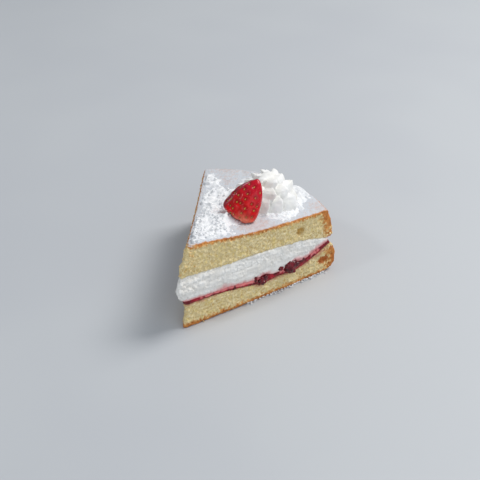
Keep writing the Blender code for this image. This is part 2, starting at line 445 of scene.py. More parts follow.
def maths(tree, operation, first, second=0.0, clamp=False):
    return put(tree, "Math", {0: first, 1: second}, operation=operation, use_clamp=clamp).outputs[0]


def stepped(tree, value, start, end):
    """A smooth step from 0 at start to 1 at end; start may be above end."""
    return put(tree, "MapRange", {"Value": value, "From Min": start, "From Max": end},
               interpolation_type="SMOOTHSTEP").outputs["Result"]


def times(tree, first, second):
    return maths(tree, "MULTIPLY", first, second)


def plus(tree, first, second):
    return maths(tree, "ADD", first, second)


def noted(tree, name):
    """The number that each vertex keeps under this name."""
    return put(tree, "Attribute", attribute_name=name).outputs["Fac"]


def fresh_material(name, **inputs):
    """A material with one Principled shader, whose constant inputs are set directly."""
    material = bpy.data.materials.new(name)
    material.use_nodes = True
    tree = material.node_tree
    shader = tree.nodes["Principled BSDF"]
    for key, value in inputs.items():
        shader.inputs[key.replace("_", " ")].default_value = value
    return material, tree, shader


# %% [markdown]
# ### Two effects that several finishes share
#
# Food is never one colour. *Mottle* gives a patchy mask at a chosen size, for crumb, crust and
# stains. *Grain* gives a height for fine bumps at a chosen size, for crumb, sugar and cream.
# Both read Object coordinates, so they stay put in the cake.

# %% Mottle and grain node groups


def effect(name, inputs, outputs):
    """A node group with named number inputs and outputs, and its group input and output nodes."""
    group = bpy.data.node_groups.new(name, "ShaderNodeTree")
    for label, value in inputs:
        socket = group.interface.new_socket(name=label, in_out="INPUT", socket_type="NodeSocketFloat")
        socket.default_value = value
    for label in outputs:
        group.interface.new_socket(name=label, in_out="OUTPUT", socket_type="NodeSocketFloat")
    return group, group.nodes.new("NodeGroupInput"), group.nodes.new("NodeGroupOutput")


mottle, given, result = effect("Mottle", [("Scale", 400.0), ("Low", 0.4), ("High", 0.6)], ["Mask"])
place = put(mottle, "TexCoord").outputs["Object"]
patches = put(mottle, "TexNoise", {"Vector": place, "Scale": given.outputs["Scale"], "Detail": 3.0,
                                   "Roughness": 0.6})
mask = put(mottle, "MapRange", {"Value": patches.outputs["Fac"], "From Min": given.outputs["Low"],
                                "From Max": given.outputs["High"]}, interpolation_type="SMOOTHSTEP")
mottle.links.new(mask.outputs["Result"], result.inputs["Mask"])

grain, given, result = effect("Grain", [("Scale", 900.0), ("Pits", 0.5)], ["Height"])
place = put(grain, "TexCoord").outputs["Object"]
fine = put(grain, "TexNoise", {"Vector": place, "Scale": given.outputs["Scale"], "Detail": 4.0})
cells = put(grain, "TexVoronoi", {"Vector": place, "Scale": given.outputs["Scale"]})
pitted = maths(grain, "MULTIPLY", cells.outputs["Distance"], given.outputs["Pits"])
grain.links.new(maths(grain, "ADD", fine.outputs["Fac"], pitted), result.inputs["Height"])


def use(tree, group, output, **inputs):
    """Place a shared effect in a material with its own values."""
    node = put(tree, "Group", node_tree=group)
    for key, value in inputs.items():
        node.inputs[key].default_value = value
    return node.outputs[output]


def mottled(tree, scale, low=0.4, high=0.6):
    """A patchy mask, in patches per metre; low and high close together give hard edges."""
    return use(tree, mottle, "Mask", Scale=scale, Low=low, High=high)


def grainy(tree, shader, scale, pits, depth):
    """Roughen a shader's normal with grain. Scale is in grains per metre; depth is in metres."""
    height = use(tree, grain, "Height", Scale=scale, Pits=pits)
    made = put(tree, "Bump", {"Height": height, "Distance": depth, "Strength": 1.0})
    tree.links.new(made.outputs["Normal"], shader.inputs["Normal"])


def colour_with(tree, shader, colour):
    tree.links.new(colour, shader.inputs["Base Color"])


# %% [markdown]
# ## Floor
#
# A plain pale board, wide enough that its edge never shows.

# %% Floor
FLOOR_WIDTH = 8
FLOOR_GAP = 0.3 * MM  # keeps the floor and the slice's base apart
bpy.ops.mesh.primitive_plane_add(size=FLOOR_WIDTH, location=(0, 0, -FLOOR_GAP))
floor = bpy.context.object
floor.name = "floor"
floor_finish, tree, shader = fresh_material("pale board", Roughness=0.55)
shade = blend(tree, mottled(tree, 3), srgb(187, 190, 195), srgb(191, 194, 198))
colour_with(tree, shader, shade)
floor.data.materials.append(floor_finish)

# %% [markdown]
# ## Sponge
#
# Each sponge layer is crumb where it was cut, full of small holes, and thin brown crust where it
# touched the tin or the hot air. A copy of the CAD solid is remeshed into small even faces, the
# cut and outer walls are split finer, and noise patterns sized in real millimetres swell them.
# What the material needs is noted at each vertex: how far it is from baked skin, and how deep
# it lies in a hole.

# %% Fine copy of a sponge layer
SPONGE_VOXEL = 0.66 * MM
UPRIGHT = 0.6  # a wall's normal has less height than this


def fine_layer(node, name):
    piece = copy_of_node(node, name)
    apply(piece, "REMESH", mode="VOXEL", voxel_size=SPONGE_VOXEL)
    apply(piece, "SMOOTH", factor=0.5, iterations=4)
    edit(piece, lambda centre, normal: abs(normal.z) < UPRIGHT)
    bpy.ops.mesh.subdivide(number_cuts=1)
    done_editing()
    return piece


def outward(point):
    """Distance and direction of a point from the cake's axis, level."""
    level = Vector((point.x - AXIS.x, point.y - AXIS.y, 0))
    return level.length, level.normalized()


CRUST_OUT = 80 * MM  # baked side skin is further out than this


def baked_side(centre, normal):
    distance, direction = outward(centre)
    return distance > CRUST_OUT and normal.dot(direction) > 0.75


top_sponge = fine_layer("top_sponge", "top_sponge_crumb")
bottom_sponge = fine_layer("bottom_sponge", "bottom_sponge_crumb")
print("fine vertices:", len(top_sponge.data.vertices), len(bottom_sponge.data.vertices))

# %% [markdown]
# ### Where the skin is baked
#
# Crust is thickest where the tin stood round the cake, and thin above and below. How far each
# vertex lies from baked skin is measured to the plain solid's faces, in thicknesses of crust, so
# one material can brown both. The distance to the jam says where the crumb has soaked.

# %% Note where the skin is baked
plain_top = copy_of_node("top_sponge", "plain_top")
plain_bottom = copy_of_node("bottom_sponge", "plain_bottom")
plain_jam = copy_of_node("jam_layer", "plain_jam")
plain_cream = copy_of_node("cream_layer", "plain_cream")
TOP_LOW = 0.036  # the cake's top is higher than this
jam_tree = tree_of(plain_jam)
# thickness of the crust in mm, at the tin's side and then above or below
SIDE_CRUST = {"top_sponge_crumb": 2.6, "bottom_sponge_crumb": 2.8}
FLAT_CRUST = {"top_sponge_crumb": 1.0, "bottom_sponge_crumb": 1.2}
JAM_SOAK = 2.5  # mm deeper that jam has soaked in at the outer end, where it ran out
SOAKED_FROM, SOAKED_TO = 84 * MM, 96 * MM  # from the cake's axis


def is_top(centre, normal):
    return normal.z > 0.7 and centre.z > TOP_LOW


def is_base(centre, normal):
    return normal.z < -0.7 and centre.z < 2 * MM


for piece, plain, flat_skin in ((top_sponge, plain_top, is_top),
                                (bottom_sponge, plain_bottom, is_base)):
    points = points_of(piece)
    from_flat = distance_to(points, tree_of(plain, flat_skin)) / MM
    from_side = distance_to(points, tree_of(plain, baked_side)) / MM
    note(piece, "flat", from_flat)
    crusts = from_flat / FLAT_CRUST[piece.name], from_side / SIDE_CRUST[piece.name]
    note(piece, "skin", np.minimum(*crusts))
    from_axis = np.hypot(points[:, 0] - AXIS.x, points[:, 1] - AXIS.y)
    soaked = JAM_SOAK * ease(from_axis, SOAKED_FROM, SOAKED_TO)
    note(piece, "jam", distance_to(points, jam_tree) / MM - soaked)


# %% [markdown]
# ### Open crumb
#
# Cut sponge is a foam. Four patterns on the walls go from slow waves of 7 mm down to grain of
# 0.8 mm, with two sizes of cell between them for the bubbles. The crust has no bubbles and only
# wrinkles. What the patterns did is measured again afterwards: that depth is the *hole* note.

# %% Open the crumb


def wall_share(normals, more):
    """1 on upright walls and 0 on flat faces, with a soft step between."""
    return ease(UPRIGHT + more - np.abs(normals[:, 2]), 0, 0.3)


def noted_values(piece, name):
    """A note read back, one number for each vertex."""
    values = np.empty(len(piece.data.vertices), np.float32)
    piece.data.attributes[name].data.foreach_get("value", values)
    return values.astype(float)


def open_crumb(piece):
    """Swell the cut faces into crumb and wrinkle the crust; note how deep each hole goes."""
    skin = noted_values(piece, "skin")
    before, outwards = points_of(piece), normals_of(piece)
    wall = wall_share(outwards, 0.15)
    weigh(piece, "crumb", wall * ease(skin, 0.3, 1.4))
    weigh(piece, "crust", ease(1.2 - skin, 0, 1.2))
    swell(piece, "CLOUDS", 7 * MM, 0.9 * MM, group="crumb", noise_depth=2)
    swell(piece, "VORONOI", 1.7 * MM, 1.3 * MM, middle=0.45, group="crumb")
    swell(piece, "VORONOI", 3.2 * MM, 0.5 * MM, middle=0.45, group="crumb", distance_metric="DISTANCE")
    swell(piece, "CLOUDS", 0.8 * MM, 0.5 * MM, group="crumb", noise_depth=1)
    swell(piece, "CLOUDS", 3.0 * MM, 0.7 * MM, group="crust", noise_depth=2)
    swell(piece, "CLOUDS", 0.9 * MM, 0.5 * MM, group="crust", noise_depth=1)
    depth = ((points_of(piece) - before) * outwards).sum(1) / MM
    note(piece, "hole", -depth)


open_crumb(top_sponge)
open_crumb(bottom_sponge)

# %% [markdown]
# ### Air hole and torn place
#
# A few holes are big enough to see one by one: an air hole in the upper layer near the crust,
# and a torn place low in the bottom layer. A dent pulls the vertices around a point inwards,
# most at the middle, as proportional editing does.

# %% Air hole and torn place


def near_face(out, height):
    """The point on the near cut face at a distance from the axis and a height."""
    return AXIS + Vector((out * math.cos(HALF_ANGLE), -out * math.sin(HALF_ANGLE), height))


NEAR_INWARD = Vector((math.sin(HALF_ANGLE), math.cos(HALF_ANGLE), 0))
ALONG_NEAR = Vector((math.cos(HALF_ANGLE), -math.sin(HALF_ANGLE), 0))
# distance from the axis, height, half width, half height, depth
DENTS = {
    "top_sponge_crumb": (
        (76.3, 33.0, 3.0, 2.5, 2.0), (41.0, 40.0, 1.3, 0.9, 0.5), (58.0, 31.5, 1.2, 0.8, 0.5),
        (24.0, 37.0, 1.3, 0.9, 0.5), (84.0, 30.0, 1.2, 0.8, 0.5),
    ),
    "bottom_sponge_crumb": (
        (93.6, 8.2, 3.6, 2.3, 1.7), (34.0, 6.0, 1.2, 0.8, 0.5), (66.0, 5.0, 1.3, 0.9, 0.5),
    ),
}
TORN_OUT = 90.0  # a hole further out than this is torn right through to the brown crust


def dent(piece, marks):
    """Press a ragged hole into the near cut face for each mark, and note how deep and how torn."""
    points = points_of(piece)
    holes = noted_values(piece, "hole")
    torn = np.zeros(len(points))
    for out, height, wide, high, deep in marks:
        middle = np.array(near_face(out * MM, height * MM))
        away = points - middle
        side = away @ np.array(ALONG_NEAR) / (wide * MM)
        rise = away[:, 2] / (high * MM)
        inside = np.abs(away @ np.array(NEAR_INWARD)) < 4 * MM
        ragged = np.array([noise.noise(Vector(p) * 900) for p in points[inside]])
        reach = np.hypot(side, rise)[inside] + 0.35 * ragged
        pull = ease(1.15 - reach, 0, 0.6) * deep * MM
        points[inside] += pull[:, None] * np.array(NEAR_INWARD)
        holes[inside] += pull / MM * 0.45
        torn[inside] = np.maximum(torn[inside], ease(1.25 - reach, 0, 0.4) * (out > TORN_OUT))
    move_points(piece, points)
    note(piece, "hole", holes)
    note(piece, "torn", torn)


for piece in (top_sponge, bottom_sponge):
    dent(piece, DENTS[piece.name])
    shade_smooth(piece)

# %% [markdown]
# ### Where the icing sugar lies
#
# Sugar was sieved over the top by hand: heaped towards the tip, on the left and around the
# rosette, and thin at the back edge, the near corner and under the strawberry. Heaps and thin
# places are given as soft round spots, measured from the cake's axis.

# %% Sugar plan
# along the slice, across it, radius, amount
HEAPS = (
    (14, 1, 11, 0.75), (29, 4, 9, 0.8), (30, -8, 8, 0.75), (39, 6, 8, 0.8), (52, 12, 7.5, 0.85),
    (66, 16, 7, 0.7), (76, 29, 8.5, 0.9), (58, 20, 5, 0.35), (88, 8, 9, 0.4), (93, -14, 9, 0.4),
    (86, -26, 8, 0.7), (72, -26, 6, 0.8), (62, -20, 5, 0.85), (80, -20, 8, 0.8), (62, -27, 4, 0.5),
    (70, -2, 20, 0.4), (38.5, -2.5, 4.5, 0.7),
)
BARE = (
    (42, 19, 5, 0.7), (55, 26, 6, 0.6), (66, 31, 5, 0.4), (95, 28, 8, 0.8), (98, 10, 6, 0.4),
    (84, -35, 6.5, 1.0), (38, -13, 6, 0.75), (48, -17, 6, 0.8), (53, -22, 4, 0.6), (80, 20, 5, 0.8),
    (92, 40, 5, 0.4),
)
DUSTING = 0.18  # amount everywhere else


def sugar_cover(points):
    """How thickly sugar lies at each point, from 0 to about 1."""
    along, across = (points[:, 0] - AXIS.x) / MM, (points[:, 1] - AXIS.y) / MM
    amount = np.full(len(points), DUSTING)
    for spots, sign in ((HEAPS, 1), (BARE, -1)):
        for middle_along, middle_across, radius, most in spots:
            away = np.hypot(along - middle_along, across - middle_across)
            amount += sign * most * np.exp(-(away / radius) ** 2)
    return amount


CLUMP_SIZE = 5.5 * MM
CLUMP_SEED = 3


def patchy(points, size, seed):
    """Soft noise from about -1 to 1 at each point."""
    shift = Vector((seed, 2.7 * seed, -seed))
    return np.array([noise.fractal(Vector(p) / size + shift, 1.0, 2.0, 3) for p in points])


points = points_of(top_sponge)
upward = ease(normals_of(top_sponge)[:, 2], 0.6, 0.95)
upward *= ease(1.5 - noted_values(top_sponge, "flat"), 0, 0.6)
cover = sugar_cover(points) + 0.35 * patchy(points, CLUMP_SIZE, CLUMP_SEED)
note(top_sponge, "sugar", upward * np.clip(0.93 + 0.25 * cover, 0, 1))
note(bottom_sponge, "sugar", np.zeros(len(bottom_sponge.data.vertices)))

# %% [markdown]
# ### Crumb and crust finish
#
# One material serves both layers. It starts from pale yellow crumb with paler and darker grains,
# takes a darker painted shade in the holes, turns golden and then brown over the last millimetre or
# two before the skin, takes a pink stain next to the jam, and whitens under the dusting of sugar. A
# noise added to the distance from the skin breaks the crust's inner edge into specks.

# %% Sponge material
# patches per metre, low and high end of the mask, strength, colour
CRUMB_TONES = (
    (70, 0.35, 0.70, 1.0, (228, 208, 158)), (330, 0.48, 0.70, 1.0, (234, 212, 146)),
    (1100, 0.56, 0.66, 0.6, (198, 164, 102)), (620, 0.58, 0.70, 0.6, (252, 240, 204)),
)
sponge_finish, tree, shader = fresh_material("crumb and crust", Roughness=0.85,
                                             Specular_IOR_Level=0.25)
crumb = blend(tree, mottled(tree, 900, 0.35, 0.65), srgb(246, 232, 190), srgb(218, 192, 134))
for scale, low, high, strength, tone in CRUMB_TONES:
    crumb = blend(tree, times(tree, mottled(tree, scale, low, high), strength), crumb, srgb(*tone))
# painted shade: crumb darker and yellower the deeper its hole
crumb = blend(tree, stepped(tree, noted(tree, "hole"), -0.1, 1.3), crumb, srgb(198, 158, 88))
specks = maths(tree, "SUBTRACT", mottled(tree, 600, 0.3, 0.7), 0.5)
skin = plus(tree, noted(tree, "skin"), times(tree, specks, 1.7))
golden = blend(tree, stepped(tree, skin, 2.8, 1.2), crumb, srgb(218, 164, 96))
crust = blend(tree, mottled(tree, 220, 0.35, 0.7), srgb(208, 134, 68), srgb(172, 100, 46))
crust = blend(tree, mottled(tree, 90, 0.45, 0.7), crust, srgb(214, 152, 90))
baked = blend(tree, stepped(tree, skin, 2.1, 0.8), golden, crust)
baked = blend(tree, times(tree, noted(tree, "torn"), 0.85), baked, srgb(186, 92, 28))
stain_reach = plus(tree, noted(tree, "jam"), times(tree, mottled(tree, 160, 0.35, 0.65), 2.0))
stain = times(tree, stepped(tree, stain_reach, 2.6, 0.5), 0.65)
stained = blend(tree, stain, baked, srgb(196, 120, 104))
dust_patch = plus(tree, times(tree, mottled(tree, 520, 0.3, 0.62), 0.3), 0.82)
dust = maths(tree, "MULTIPLY", noted(tree, "sugar"), dust_patch, clamp=True)
colour_with(tree, shader, blend(tree, dust, stained, srgb(203, 206, 212)))
grainy(tree, shader, 1500, 0.8, 0.25 * MM)
for piece in (top_sponge, bottom_sponge):
    piece.data.materials.append(sponge_finish)
belongs(top_sponge, "sponge", "top_sponge")
belongs(bottom_sponge, "sponge", "bottom_sponge")

# %% [markdown]
# ## Jam
#
# The jam is a thin glossy sheet between the cream and the lower sponge. Its edge bulges where it
# was pressed out and draws back between. How near each vertex is to the sponge, against how near
# it is to the cream, is noted as its rise, because jam pales where cream has smeared into it.

# %% Jam layer
jam = copy_of_node("jam_layer", "jam_spread")
apply(jam, "REMESH", mode="VOXEL", voxel_size=0.5 * MM)
apply(jam, "SMOOTH", factor=0.5, iterations=3)
JAM_PRESS = 0.25 * MM  # the jam presses into its neighbours by this much
apply(jam, "DISPLACE", strength=JAM_PRESS, mid_level=0.0)
to_cream = distance_to(points_of(jam), tree_of(plain_cream))
to_sponge = distance_to(points_of(jam), tree_of(plain_bottom))
note(jam, "rise", to_sponge / (to_cream + to_sponge))
weigh(jam, "edge", wall_share(normals_of(jam), 0.2))
swell(jam, "CLOUDS", 4 * MM, 1.1 * MM, middle=0.7, group="edge", noise_depth=1)
swell(jam, "CLOUDS", 1.4 * MM, 0.5 * MM, group="edge", noise_depth=1)
shade_smooth(jam)

# %% [markdown]
# ### Jam finish
#
# Dark red and brighter red in patches, and a pale smear along its upper edge that comes and goes.

# %% Jam material
jam_finish, tree, shader = fresh_material("red fruit jam", Roughness=0.2, Specular_IOR_Level=0.35)
deep = blend(tree, mottled(tree, 260, 0.35, 0.65), srgb(172, 14, 38), srgb(100, 4, 20))
ragged_rise = plus(tree, noted(tree, "rise"), times(tree, mottled(tree, 300, 0.3, 0.7), 0.3))
here_and_there = mottled(tree, 75, 0.47, 0.53)
smear = times(tree, stepped(tree, ragged_rise, 0.45, 0.75), here_and_there)
colour_with(tree, shader, blend(tree, smear, deep, srgb(226, 126, 126)))
grainy(tree, shader, 500, 0.2, 0.15 * MM)
jam.data.materials.append(jam_finish)
belongs(jam, "jam", "jam_layer")

# %% [markdown]
# ## Whipped cream filling
#
# The knife has dragged the cream along the cut face into fine level streaks, with a few
# blisters and pits where air was whipped in. The streaks come from a noise pattern stretched
# along the layer. Near the jam the cream is stained pink.

# %% Cream layer
CREAM_PRESS = 0.5 * MM  # the cream presses into its neighbours by this much
LAYER_TILT = math.radians(4)
cream = copy_of_node("cream_layer", "cream_filling")
apply(cream, "REMESH", mode="VOXEL", voxel_size=0.62 * MM)
apply(cream, "SMOOTH", factor=0.5, iterations=5)
apply(cream, "DISPLACE", strength=CREAM_PRESS, mid_level=0.0)
edit(cream, lambda centre, normal: abs(normal.z) < UPRIGHT)
bpy.ops.mesh.subdivide(number_cuts=1)
done_editing()
note(cream, "jam", distance_to(points_of(cream), jam_tree) / MM)
cream_edge = wall_share(normals_of(cream), 0.2)
weigh(cream, "edge", cream_edge)
streaks = Matrix.Rotation(LAYER_TILT, 4, "Y") @ Matrix.Diagonal((5, 5, 0.8, 1))
swell(cream, "CLOUDS", 9 * MM, 1.2 * MM, group="edge", noise_depth=1)
swell(cream, "CLOUDS", 2.6 * MM, 0.7 * MM, group="edge", stretch=streaks, noise_depth=1)
swell(cream, "CLOUDS", 2.0 * MM, 0.5 * MM, group="edge", noise_depth=1)
swell(cream, "CLOUDS", 0.9 * MM, 0.4 * MM, group="edge", noise_depth=1)
weigh(cream, "blisters", cream_edge * ease(patchy(points_of(cream), 6 * MM, 21), -0.05, 0.2))
swell(cream, "VORONOI", 1.8 * MM, -1.2 * MM, middle=0.2, group="blisters")
shade_smooth(cream)
# how deep each vertex lies in a fold, for the painted shade in the cream's folds
note_hollows(cream, "fold_shade", 12, 0.35 * MM)


# %% [markdown]
# ### Cream finish
#
# Cream is nearly white, so it needs little: a faint warm patchiness, a slightly darker painted shade
# in the folds, and for the filling a pink stain that fades away from the jam.

# %% Cream material


def cream_material(name, white, shadow, fold_shade, stain):
    """Off-white cream with a shadow tone in patches and a painted shade in hollows, pink near jam."""
    material, tree, shader = fresh_material(name, Roughness=0.5, Specular_IOR_Level=0.35)
    tone = blend(tree, mottled(tree, 150, 0.35, 0.7), white, shadow)
    if stain:
        reach = plus(tree, noted(tree, "jam"), times(tree, mottled(tree, 90, 0.35, 0.62), 1.8))
        pink = times(tree, stepped(tree, reach, 4.6, 0.8), 0.85)
        tone = blend(tree, pink, tone, srgb(226, 118, 122))
    # painted shade: the hollows take the darker fold colour
    tone = blend(tree, times(tree, noted(tree, "fold_shade"), 0.7), tone, fold_shade)
    colour_with(tree, shader, tone)
    grainy(tree, shader, 700, 0.1, 0.12 * MM)
    return material


# the last colour is the painted shade in the filling's folds
cream.data.materials.append(cream_material("whipped cream filling", srgb(242, 240, 237),
                                           srgb(234, 230, 224), srgb(222, 217, 208), True))
belongs(cream, "cream", "cream_layer")

# %% [markdown]
# ## Icing sugar
#
# Heaped sugar has real thickness. The coat starts as the top faces of the upper sponge, cut away
# from the rest, split fine, and sunk half a millimetre under the crust, so that it shows only
# where it is raised again.

# %% Cut the coat from the crust
COAT_SPLITS = 7
COAT_SUNK = 0.55 * MM
coat = plain_top
coat.name = "icing_sugar_coat"
edit(coat, lambda centre, normal: not is_top(centre, normal))
bpy.ops.mesh.delete(type="FACE")
bpy.ops.mesh.select_all(action="SELECT")
bpy.ops.mesh.subdivide(number_cuts=COAT_SPLITS, smoothness=0.0)
bpy.ops.transform.translate(value=(0, 0, -COAT_SUNK))
done_editing()
print("coat vertices:", len(coat.data.vertices))

# %% [markdown]
# ### Rim of the coat
#
# At the cake's edge the sugar has to end before the crust does. The boundary loop is selected and
# put in a search tree, and faces close to it are deleted. How far each vertex that is left lies
# from the edge is kept for the next step.

# %% Trim the rim
RIM_CUT = 1.2 * MM  # the coat stops this far inside the edge of the crust
edit(coat)
bpy.ops.mesh.select_mode(type="EDGE")
bpy.ops.mesh.select_all(action="SELECT")
bpy.ops.mesh.region_to_loop()
done_editing()
points = points_of(coat)
on_rim = np.zeros(len(points), bool)
coat.data.vertices.foreach_get("select", on_rim)
rim = KDTree(int(on_rim.sum()))
for index in np.flatnonzero(on_rim):
    rim.insert(Vector(points[index]), int(index))
rim.balance()
edit(coat, lambda centre, normal: rim.find(centre)[2] < RIM_CUT)
bpy.ops.mesh.delete(type="FACE")
done_editing()
points = points_of(coat)
from_rim = np.array([rim.find(Vector(p))[2] for p in points]) / MM
print("coat vertices after the trim:", len(points))

# %% [markdown]
# ### Heaps and clumps
#
# Solidify gives the coat an underside. Its vertices come after the others and stay down, so no
# gap opens below a heap. The top sinks at its rim and rises by the sugar plan, with a bank of
# sugar in front of the berry. Two patterns then break it into clumps: cells of 3 mm and clouds of
# 1.7 mm.

# %% Raise the sugar
COAT_THICK = 0.5 * MM
SUGAR_DEPTH = 2.3 * MM
RIM_WIDTH = 2.8  # mm, over which the coat sinks under the crust at its edge
RIM_SINK = 0.9 * MM
BANK = (42.5, -3.5, 6.0, 2.2)  # along, across, radius, height
thick = sugar_cover(points) + 0.5 * patchy(points, CLUMP_SIZE, CLUMP_SEED)
thick += 0.18 * patchy(points, 2.2 * MM, 8)
thick -= ease(2.0 - from_rim + 0.6 * patchy(points, 3 * MM, 5), 0, 1.8)
bank_away = np.hypot((points[:, 0] - AXIS.x) / MM - BANK[0], (points[:, 1] - AXIS.y) / MM - BANK[1])
points[:, 2] -= RIM_SINK * ease(RIM_WIDTH - from_rim, 0, RIM_WIDTH)
move_points(coat, points)
apply(coat, "SOLIDIFY", thickness=COAT_THICK, offset=-1.0)
underside = np.zeros(len(points))
weigh(coat, "cover", np.append(ease(thick, 0.2, 1.2), underside))
weigh(coat, "bank", np.append(np.exp(-(bank_away / BANK[2]) ** 2), underside))
apply(coat, "DISPLACE", strength=SUGAR_DEPTH, mid_level=0.0, direction="Z", vertex_group="cover")
apply(coat, "DISPLACE", strength=BANK[3] * MM, mid_level=0.0, direction="Z", vertex_group="bank")
swell(coat, "VORONOI", 3.0 * MM, -1.9 * MM, middle=0.35, group="cover")
swell(coat, "CLOUDS", 1.7 * MM, 1.2 * MM, group="cover", noise_depth=2)
shade_smooth(coat)

# %% [markdown]
# ### Sugar finish
#
# Icing sugar is a matt white powder. All its grain is in the bump; the colour hardly changes.

# %% Sugar material
sugar_finish, tree, shader = fresh_material("icing sugar", Roughness=0.9, Specular_IOR_Level=0.2)
colour_with(tree, shader, blend(tree, mottled(tree, 420), srgb(243, 243, 244), srgb(230, 231, 234)))
grainy(tree, shader, 1600, 0.5, 0.25 * MM)
coat.data.materials.append(sugar_finish)
belongs(coat, "sugar")

# %% [markdown]
# ## Piped rosette
#
# Cream pushed through a star nozzle comes out ridged, and each turn of the swirl ends in soft
# pointed folds that lean over the next. Three tiers are stacked, each smaller than the one
# below. A tier is a circle extruded up and resized ring by ring; its vertices are then drawn in
# between the ridges, so each ridge has a long flank, a crest and a short steep flank.

# %% One tier of folds
RIDGE_POINTS = 12
CREST_AT = 8 / RIDGE_POINTS  # share of a ridge's width where its crest stands
RIDGE_DEPTH = 0.34  # how far the valleys are drawn in, as a share of the radius
CREST_LEAN = 0.36  # how far a crest leans over the next ridge, in ridge widths
CREST_LIFT = 2.0 * MM
JUST_PAST = 1e-4  # puts a vertex on the line between two ridges in the second one
# out, up, strength of the ridges, lift of the crests
TIER_PROFILE = (
    (0.84, 0.00, 0.6, 0.0), (0.96, 0.16, 0.9, 0.0), (1.00, 0.40, 1.0, 0.3), (0.98, 0.64, 1.1, 0.7),
    (0.92, 0.86, 1.2, 1.0), (0.72, 1.00, 1.1, 0.8), (0.42, 1.04, 0.7, 0.2),
)


def cream_tier(radius, high, flare, ridges, first, twist):
    """A ring of folds that rises from the origin along +Z."""
    bpy.ops.mesh.primitive_circle_add(vertices=ridges * RIDGE_POINTS, radius=radius, fill_type="NGON")
    ring = bpy.context.object
    edit(ring)
    bpy.ops.transform.resize(value=(TIER_PROFILE[0][0], TIER_PROFILE[0][0], 1))
    for before, here in zip(TIER_PROFILE, TIER_PROFILE[1:]):
        rise, growth = (here[1] - before[1]) * high, here[0] / before[0]
        bpy.ops.mesh.extrude_region_move(TRANSFORM_OT_translate={"value": (0, 0, rise)})
        bpy.ops.transform.resize(value=(growth, growth, 1))
    done_editing()
    points = points_of(ring)
    angle = np.arctan2(points[:, 1], points[:, 0])
    in_ridges = angle / (2 * math.pi) * ridges + JUST_PAST
    which = np.floor(in_ridges).astype(int) % ridges
    crest = np.interp(in_ridges - np.floor(in_ridges), (0, CREST_AT, 1), (0, 1, 0))
    grown = dice.uniform(0.86, 1.08, ridges)[which]
    up = points[:, 2] / high
    _, ups, strengths, lifts = zip(*TIER_PROFILE)
    strength, lift = np.interp(up, ups, strengths), np.interp(up, ups, lifts)
    out = np.hypot(points[:, 0], points[:, 1]) * (1 - RIDGE_DEPTH * strength * (1 - crest))
    out *= 1 + (grown - 1) * crest
    out *= 1 + flare * (up - 0.4)
    angle += first + twist * up + CREST_LEAN * crest * 2 * math.pi / ridges
    points[:, 0], points[:, 1] = out * np.cos(angle), out * np.sin(angle)
    points[:, 2] += lift * (crest - 0.4) * CREST_LIFT * grown
    move_points(ring, points)
    return ring


# %% [markdown]
# ### Stacking the tiers
#
# Each tier is turned a little against the one below and sits slightly back, as a hand moves while
# it pipes. A low sphere closes the top. A voxel remesh joins them into one body of cream, and two
# soft patterns take away what is too regular.

# %% Three tiers
ROSETTE_LOW, ROSETTE_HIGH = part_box("cream_rosette")
ROSETTE_FOOT = 43.4 * MM
ROSETTE_MIDDLE = Vector(((ROSETTE_LOW.x + ROSETTE_HIGH.x) / 2,
                         (ROSETTE_LOW.y + ROSETTE_HIGH.y) / 2, ROSETTE_FOOT))
CAP_AT = Vector((4.2, -1.4, 12.6)) * MM
CAP_RADIUS = 5.0 * MM
# radius, middle along and across, foot, height, flare, ridges, first angle, twist
TIERS = (
    (18.2, 0.8, -1.6, -1.0, 8.8, -0.10, 12, -2, 14), (13.8, 2.6, -1.8, 4.2, 6.9, 0.16, 9, 16, 16),
    (9.0, 4.2, -1.6, 8.2, 6.2, 0.14, 6, 44, 22),
)
tiers = []
for radius, along, across, foot, high, flare, ridges, first, twist in TIERS:
    made = cream_tier(radius * MM, high * MM, flare, ridges, math.radians(first), math.radians(twist))
    made.location = ROSETTE_MIDDLE + Vector((along, across, foot)) * MM
    tiers.append(made)
bpy.ops.mesh.primitive_uv_sphere_add(segments=24, ring_count=12, radius=CAP_RADIUS,
                                     location=ROSETTE_MIDDLE + CAP_AT)
cap = bpy.context.object
cap.scale.z = 0.62
rosette = joined((*tiers, cap), "piped_rosette")
apply(rosette, "REMESH", mode="VOXEL", voxel_size=0.38 * MM)
apply(rosette, "SMOOTH", factor=0.5, iterations=2)
swell(rosette, "CLOUDS", 7 * MM, 1.2 * MM, noise_depth=1)
swell(rosette, "CLOUDS", 1.6 * MM, 0.22 * MM, noise_depth=1)
shade_smooth(rosette)
# how deep each vertex lies in a fold, for the painted shade in the rosette's folds, the last colour
# below
note_hollows(rosette, "fold_shade", 50, 0.7 * MM)
rosette.data.materials.append(cream_material("whipped cream rosette", srgb(243, 242, 241),
                                             srgb(235, 233, 228), srgb(196, 188, 170), False))
belongs(rosette, "cream", "cream_rosette")

# %% [markdown]
# ## Strawberry
#
# Half a berry leans on the rosette with its skin to the front. Its surface is told from three
# directions: along the berry from the trimmed end to the point, out of its cut back, and
# sideways. Every vertex is measured along these.

